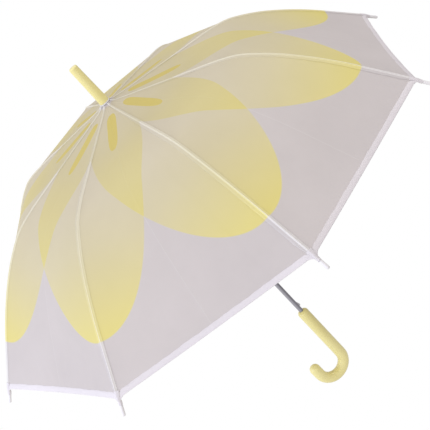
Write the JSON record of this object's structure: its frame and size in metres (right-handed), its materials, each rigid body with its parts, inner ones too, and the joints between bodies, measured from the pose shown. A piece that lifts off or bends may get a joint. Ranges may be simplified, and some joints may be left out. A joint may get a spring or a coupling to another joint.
{
  "type": "children's umbrella",
  "caption": "Open stick umbrella for a child: milky film canopy with pale yellow petals, white ribs, chrome shaft, yellow ferrule and yellow hook handle.",
  "frame": {"origin": "on the shaft's axis in the handle's straight grip, 38 mm below its top", "axes": "+Z along the shaft towards the ferrule; +X towards rib 1 and the open side of the hook"},
  "size_m": [0.8236, 0.8236, 0.6938],
  "materials": {
    "film": "matte",
    "painted_rib": "satin",
    "chrome": "polished",
    "yellow_plastic": "gloss",
    "white_plastic": "satin",
    "grey_plastic": "satin",
    "tip_plastic": "satin",
    "wire": "plain",
    "catch_steel": "plain"
  },
  "bodies": {
    "root": {"shaft_tube": "chrome", "ferrule": "yellow_plastic", "ferrule_ring": "grey_plastic", "crown": "white_plastic", "crown_wire": "wire", "crown_pin": "wire", "stop_pin": "wire", "handle": "yellow_plastic"},
    "inner_rib_1": {"inner_rib_1": "painted_rib"},
    "outer_rib_1": {"outer_rib_1": "painted_rib", "rib_tip_1": "tip_plastic"},
    "stretcher_1": {"stretcher_1": "painted_rib"},
    "panel_inner_1": {"panel_inner_1": "film"},
    "panel_outer_1": {"panel_outer_1": "film"},
    "inner_rib_2": {"inner_rib_2": "painted_rib"},
    "outer_rib_2": {"outer_rib_2": "painted_rib", "rib_tip_2": "tip_plastic"},
    "stretcher_2": {"stretcher_2": "painted_rib"},
    "panel_inner_2": {"panel_inner_2": "film"},
    "panel_outer_2": {"panel_outer_2": "film"},
    "inner_rib_3": {"inner_rib_3": "painted_rib"},
    "outer_rib_3": {"outer_rib_3": "painted_rib", "rib_tip_3": "tip_plastic"},
    "stretcher_3": {"stretcher_3": "painted_rib"},
    "panel_inner_3": {"panel_inner_3": "film"},
    "panel_outer_3": {"panel_outer_3": "film"},
    "inner_rib_4": {"inner_rib_4": "painted_rib"},
    "outer_rib_4": {"outer_rib_4": "painted_rib", "rib_tip_4": "tip_plastic"},
    "stretcher_4": {"stretcher_4": "painted_rib"},
    "panel_inner_4": {"panel_inner_4": "film"},
    "panel_outer_4": {"panel_outer_4": "film"},
    "inner_rib_5": {"inner_rib_5": "painted_rib"},
    "outer_rib_5": {"outer_rib_5": "painted_rib", "rib_tip_5": "tip_plastic"},
    "stretcher_5": {"stretcher_5": "painted_rib"},
    "panel_inner_5": {"panel_inner_5": "film"},
    "panel_outer_5": {"panel_outer_5": "film"},
    "inner_rib_6": {"inner_rib_6": "painted_rib"},
    "outer_rib_6": {"outer_rib_6": "painted_rib", "rib_tip_6": "tip_plastic"},
    "stretcher_6": {"stretcher_6": "painted_rib"},
    "panel_inner_6": {"panel_inner_6": "film"},
    "panel_outer_6": {"panel_outer_6": "film"},
    "inner_rib_7": {"inner_rib_7": "painted_rib"},
    "outer_rib_7": {"outer_rib_7": "painted_rib", "rib_tip_7": "tip_plastic"},
    "stretcher_7": {"stretcher_7": "painted_rib"},
    "panel_inner_7": {"panel_inner_7": "film"},
    "panel_outer_7": {"panel_outer_7": "film"},
    "inner_rib_8": {"inner_rib_8": "painted_rib"},
    "outer_rib_8": {"outer_rib_8": "painted_rib", "rib_tip_8": "tip_plastic"},
    "stretcher_8": {"stretcher_8": "painted_rib"},
    "panel_inner_8": {"panel_inner_8": "film"},
    "panel_outer_8": {"panel_outer_8": "film"},
    "runner": {"runner": "white_plastic", "runner_wire": "wire"},
    "top_catch": {"top_catch": "catch_steel"},
    "bottom_catch": {"bottom_catch": "catch_steel"}
  },
  "joints": [
    {"name": "canopy_fold", "type": "hinge", "parent": "root", "child": "inner_rib_1", "pos_m": [0.008, 0, 0.512], "axis": [0, 1, 0], "range_deg": [0, 76], "deforming": ["panel_inner_1", "panel_inner_2", "panel_inner_3", "panel_inner_4", "panel_inner_5", "panel_inner_6", "panel_inner_7", "panel_inner_8", "panel_outer_1", "panel_outer_2", "panel_outer_3", "panel_outer_4", "panel_outer_5", "panel_outer_6", "panel_outer_7", "panel_outer_8", "top_catch", "bottom_catch"]},
    {"name": "rib_fold_2", "type": "hinge", "parent": "root", "child": "inner_rib_2", "pos_m": [0.00566, 0.00566, 0.512], "axis": [-0.7071, 0.7071, 0], "range_deg": [0, 76]},
    {"name": "rib_fold_3", "type": "hinge", "parent": "root", "child": "inner_rib_3", "pos_m": [0, 0.008, 0.512], "axis": [-1, 0, 0], "range_deg": [0, 76]},
    {"name": "rib_fold_4", "type": "hinge", "parent": "root", "child": "inner_rib_4", "pos_m": [-0.00566, 0.00566, 0.512], "axis": [-0.7071, -0.7071, 0], "range_deg": [0, 76]},
    {"name": "rib_fold_5", "type": "hinge", "parent": "root", "child": "inner_rib_5", "pos_m": [-0.008, 0, 0.512], "axis": [0, -1, 0], "range_deg": [0, 76]},
    {"name": "rib_fold_6", "type": "hinge", "parent": "root", "child": "inner_rib_6", "pos_m": [-0.00566, -0.00566, 0.512], "axis": [0.7071, -0.7071, 0], "range_deg": [0, 76]},
    {"name": "rib_fold_7", "type": "hinge", "parent": "root", "child": "inner_rib_7", "pos_m": [0, -0.008, 0.512], "axis": [1, 0, 0], "range_deg": [0, 76]},
    {"name": "rib_fold_8", "type": "hinge", "parent": "root", "child": "inner_rib_8", "pos_m": [0.00566, -0.00566, 0.512], "axis": [0.7071, 0.7071, 0], "range_deg": [0, 76]},
    {"name": "rib_flex_1", "type": "hinge", "parent": "inner_rib_1", "child": "outer_rib_1", "pos_m": [0.217, 0, 0.47282], "axis": [0, 1, 0], "range_deg": [-26.98, 0]},
    {"name": "rib_flex_2", "type": "hinge", "parent": "inner_rib_2", "child": "outer_rib_2", "pos_m": [0.15344, 0.15344, 0.47282], "axis": [-0.7071, 0.7071, 0], "range_deg": [-26.98, 0]},
    {"name": "rib_flex_3", "type": "hinge", "parent": "inner_rib_3", "child": "outer_rib_3", "pos_m": [0, 0.217, 0.47282], "axis": [-1, 0, 0], "range_deg": [-26.98, 0]},
    {"name": "rib_flex_4", "type": "hinge", "parent": "inner_rib_4", "child": "outer_rib_4", "pos_m": [-0.15344, 0.15344, 0.47282], "axis": [-0.7071, -0.7071, 0], "range_deg": [-26.98, 0]},
    {"name": "rib_flex_5", "type": "hinge", "parent": "inner_rib_5", "child": "outer_rib_5", "pos_m": [-0.217, 0, 0.47282], "axis": [0, -1, 0], "range_deg": [-26.98, 0]},
    {"name": "rib_flex_6", "type": "hinge", "parent": "inner_rib_6", "child": "outer_rib_6", "pos_m": [-0.15344, -0.15344, 0.47282], "axis": [0.7071, -0.7071, 0], "range_deg": [-26.98, 0]},
    {"name": "rib_flex_7", "type": "hinge", "parent": "inner_rib_7", "child": "outer_rib_7", "pos_m": [0, -0.217, 0.47282], "axis": [1, 0, 0], "range_deg": [-26.98, 0]},
    {"name": "rib_flex_8", "type": "hinge", "parent": "inner_rib_8", "child": "outer_rib_8", "pos_m": [0.15344, -0.15344, 0.47282], "axis": [0.7071, 0.7071, 0], "range_deg": [-26.98, 0]},
    {"name": "stretcher_turn_1", "type": "hinge", "parent": "inner_rib_1", "child": "stretcher_1", "pos_m": [0.20703, 0, 0.47199], "axis": [0, 1, 0], "range_deg": [-152, 0]},
    {"name": "stretcher_turn_2", "type": "hinge", "parent": "inner_rib_2", "child": "stretcher_2", "pos_m": [0.14639, 0.14639, 0.47199], "axis": [-0.7071, 0.7071, 0], "range_deg": [-152, 0]},
    {"name": "stretcher_turn_3", "type": "hinge", "parent": "inner_rib_3", "child": "stretcher_3", "pos_m": [0, 0.20703, 0.47199], "axis": [-1, 0, 0], "range_deg": [-152, 0]},
    {"name": "stretcher_turn_4", "type": "hinge", "parent": "inner_rib_4", "child": "stretcher_4", "pos_m": [-0.14639, 0.14639, 0.47199], "axis": [-0.7071, -0.7071, 0], "range_deg": [-152, 0]},
    {"name": "stretcher_turn_5", "type": "hinge", "parent": "inner_rib_5", "child": "stretcher_5", "pos_m": [-0.20703, 0, 0.47199], "axis": [0, -1, 0], "range_deg": [-152, 0]},
    {"name": "stretcher_turn_6", "type": "hinge", "parent": "inner_rib_6", "child": "stretcher_6", "pos_m": [-0.14639, -0.14639, 0.47199], "axis": [0.7071, -0.7071, 0], "range_deg": [-152, 0]},
    {"name": "stretcher_turn_7", "type": "hinge", "parent": "inner_rib_7", "child": "stretcher_7", "pos_m": [0, -0.20703, 0.47199], "axis": [1, 0, 0], "range_deg": [-152, 0]},
    {"name": "stretcher_turn_8", "type": "hinge", "parent": "inner_rib_8", "child": "stretcher_8", "pos_m": [0.14639, -0.14639, 0.47199], "axis": [0.7071, 0.7071, 0], "range_deg": [-152, 0]},
    {"name": "runner_travel", "type": "hinge", "parent": "stretcher_1", "child": "runner", "pos_m": [0.008, 0, 0.43197], "axis": [0, 1, 0], "range_deg": [0, 76]},
    {"name": "panel_fold_1", "type": "hinge", "parent": "root", "child": "panel_inner_1", "pos_m": [0.00683, 0.00283, 0.512], "axis": [-0.3827, 0.9239, 0], "range_deg": [0, 76]},
    {"name": "panel_fold_2", "type": "hinge", "parent": "root", "child": "panel_inner_2", "pos_m": [0.00283, 0.00683, 0.512], "axis": [-0.9239, 0.3827, 0], "range_deg": [0, 76]},
    {"name": "panel_fold_3", "type": "hinge", "parent": "root", "child": "panel_inner_3", "pos_m": [-0.00283, 0.00683, 0.512], "axis": [-0.9239, -0.3827, 0], "range_deg": [0, 76]},
    {"name": "panel_fold_4", "type": "hinge", "parent": "root", "child": "panel_inner_4", "pos_m": [-0.00683, 0.00283, 0.512], "axis": [-0.3827, -0.9239, 0], "range_deg": [0, 76]},
    {"name": "panel_fold_5", "type": "hinge", "parent": "root", "child": "panel_inner_5", "pos_m": [-0.00683, -0.00283, 0.512], "axis": [0.3827, -0.9239, 0], "range_deg": [0, 76]},
    {"name": "panel_fold_6", "type": "hinge", "parent": "root", "child": "panel_inner_6", "pos_m": [-0.00283, -0.00683, 0.512], "axis": [0.9239, -0.3827, 0], "range_deg": [0, 76]},
    {"name": "panel_fold_7", "type": "hinge", "parent": "root", "child": "panel_inner_7", "pos_m": [0.00283, -0.00683, 0.512], "axis": [0.9239, 0.3827, 0], "range_deg": [0, 76]},
    {"name": "panel_fold_8", "type": "hinge", "parent": "root", "child": "panel_inner_8", "pos_m": [0.00683, -0.00283, 0.512], "axis": [0.3827, 0.9239, 0], "range_deg": [0, 76]},
    {"name": "panel_flex_1", "type": "hinge", "parent": "panel_inner_1", "child": "panel_outer_1", "pos_m": [0.18589, 0.077, 0.47477], "axis": [-0.3827, 0.9239, 0], "range_deg": [-29.19, 0]},
    {"name": "panel_flex_2", "type": "hinge", "parent": "panel_inner_2", "child": "panel_outer_2", "pos_m": [0.077, 0.18589, 0.47477], "axis": [-0.9239, 0.3827, 0], "range_deg": [-29.19, 0]},
    {"name": "panel_flex_3", "type": "hinge", "parent": "panel_inner_3", "child": "panel_outer_3", "pos_m": [-0.077, 0.18589, 0.47477], "axis": [-0.9239, -0.3827, 0], "range_deg": [-29.19, 0]},
    {"name": "panel_flex_4", "type": "hinge", "parent": "panel_inner_4", "child": "panel_outer_4", "pos_m": [-0.18589, 0.077, 0.47477], "axis": [-0.3827, -0.9239, 0], "range_deg": [-29.19, 0]},
    {"name": "panel_flex_5", "type": "hinge", "parent": "panel_inner_5", "child": "panel_outer_5", "pos_m": [-0.18589, -0.077, 0.47477], "axis": [0.3827, -0.9239, 0], "range_deg": [-29.19, 0]},
    {"name": "panel_flex_6", "type": "hinge", "parent": "panel_inner_6", "child": "panel_outer_6", "pos_m": [-0.077, -0.18589, 0.47477], "axis": [0.9239, -0.3827, 0], "range_deg": [-29.19, 0]},
    {"name": "panel_flex_7", "type": "hinge", "parent": "panel_inner_7", "child": "panel_outer_7", "pos_m": [0.077, -0.18589, 0.47477], "axis": [0.9239, 0.3827, 0], "range_deg": [-29.19, 0]},
    {"name": "panel_flex_8", "type": "hinge", "parent": "panel_inner_8", "child": "panel_outer_8", "pos_m": [0.18589, -0.077, 0.47477], "axis": [0.3827, 0.9239, 0], "range_deg": [-29.19, 0]},
    {"name": "top_catch_press", "type": "slide", "parent": "root", "child": "top_catch", "axis": [1, 0, 0], "range_m": [0, 0.0026], "stiffness_N_per_m": 400},
    {"name": "bottom_catch_press", "type": "slide", "parent": "root", "child": "bottom_catch", "axis": [1, 0, 0], "range_m": [0, 0.0026], "stiffness_N_per_m": 400}
  ],
  "couplings": [
    {"joint": "rib_fold_2", "follows": "canopy_fold", "ratio": 1},
    {"joint": "rib_fold_3", "follows": "canopy_fold", "ratio": 1},
    {"joint": "rib_fold_4", "follows": "canopy_fold", "ratio": 1},
    {"joint": "rib_fold_5", "follows": "canopy_fold", "ratio": 1},
    {"joint": "rib_fold_6", "follows": "canopy_fold", "ratio": 1},
    {"joint": "rib_fold_7", "follows": "canopy_fold", "ratio": 1},
    {"joint": "rib_fold_8", "follows": "canopy_fold", "ratio": 1},
    {"joint": "rib_flex_1", "follows": "canopy_fold", "ratio": -0.355},
    {"joint": "rib_flex_2", "follows": "canopy_fold", "ratio": -0.355},
    {"joint": "rib_flex_3", "follows": "canopy_fold", "ratio": -0.355},
    {"joint": "rib_flex_4", "follows": "canopy_fold", "ratio": -0.355},
    {"joint": "rib_flex_5", "follows": "canopy_fold", "ratio": -0.355},
    {"joint": "rib_flex_6", "follows": "canopy_fold", "ratio": -0.355},
    {"joint": "rib_flex_7", "follows": "canopy_fold", "ratio": -0.355},
    {"joint": "rib_flex_8", "follows": "canopy_fold", "ratio": -0.355},
    {"joint": "stretcher_turn_1", "follows": "canopy_fold", "ratio": -2},
    {"joint": "stretcher_turn_2", "follows": "canopy_fold", "ratio": -2},
    {"joint": "stretcher_turn_3", "follows": "canopy_fold", "ratio": -2},
    {"joint": "stretcher_turn_4", "follows": "canopy_fold", "ratio": -2},
    {"joint": "stretcher_turn_5", "follows": "canopy_fold", "ratio": -2},
    {"joint": "stretcher_turn_6", "follows": "canopy_fold", "ratio": -2},
    {"joint": "stretcher_turn_7", "follows": "canopy_fold", "ratio": -2},
    {"joint": "stretcher_turn_8", "follows": "canopy_fold", "ratio": -2},
    {"joint": "runner_travel", "follows": "canopy_fold", "ratio": 1},
    {"joint": "panel_fold_1", "follows": "canopy_fold", "ratio": 1},
    {"joint": "panel_fold_2", "follows": "canopy_fold", "ratio": 1},
    {"joint": "panel_fold_3", "follows": "canopy_fold", "ratio": 1},
    {"joint": "panel_fold_4", "follows": "canopy_fold", "ratio": 1},
    {"joint": "panel_fold_5", "follows": "canopy_fold", "ratio": 1},
    {"joint": "panel_fold_6", "follows": "canopy_fold", "ratio": 1},
    {"joint": "panel_fold_7", "follows": "canopy_fold", "ratio": 1},
    {"joint": "panel_fold_8", "follows": "canopy_fold", "ratio": 1},
    {"joint": "panel_flex_1", "follows": "canopy_fold", "ratio": -0.384},
    {"joint": "panel_flex_2", "follows": "canopy_fold", "ratio": -0.384},
    {"joint": "panel_flex_3", "follows": "canopy_fold", "ratio": -0.384},
    {"joint": "panel_flex_4", "follows": "canopy_fold", "ratio": -0.384},
    {"joint": "panel_flex_5", "follows": "canopy_fold", "ratio": -0.384},
    {"joint": "panel_flex_6", "follows": "canopy_fold", "ratio": -0.384},
    {"joint": "panel_flex_7", "follows": "canopy_fold", "ratio": -0.384},
    {"joint": "panel_flex_8", "follows": "canopy_fold", "ratio": -0.384}
  ]
}
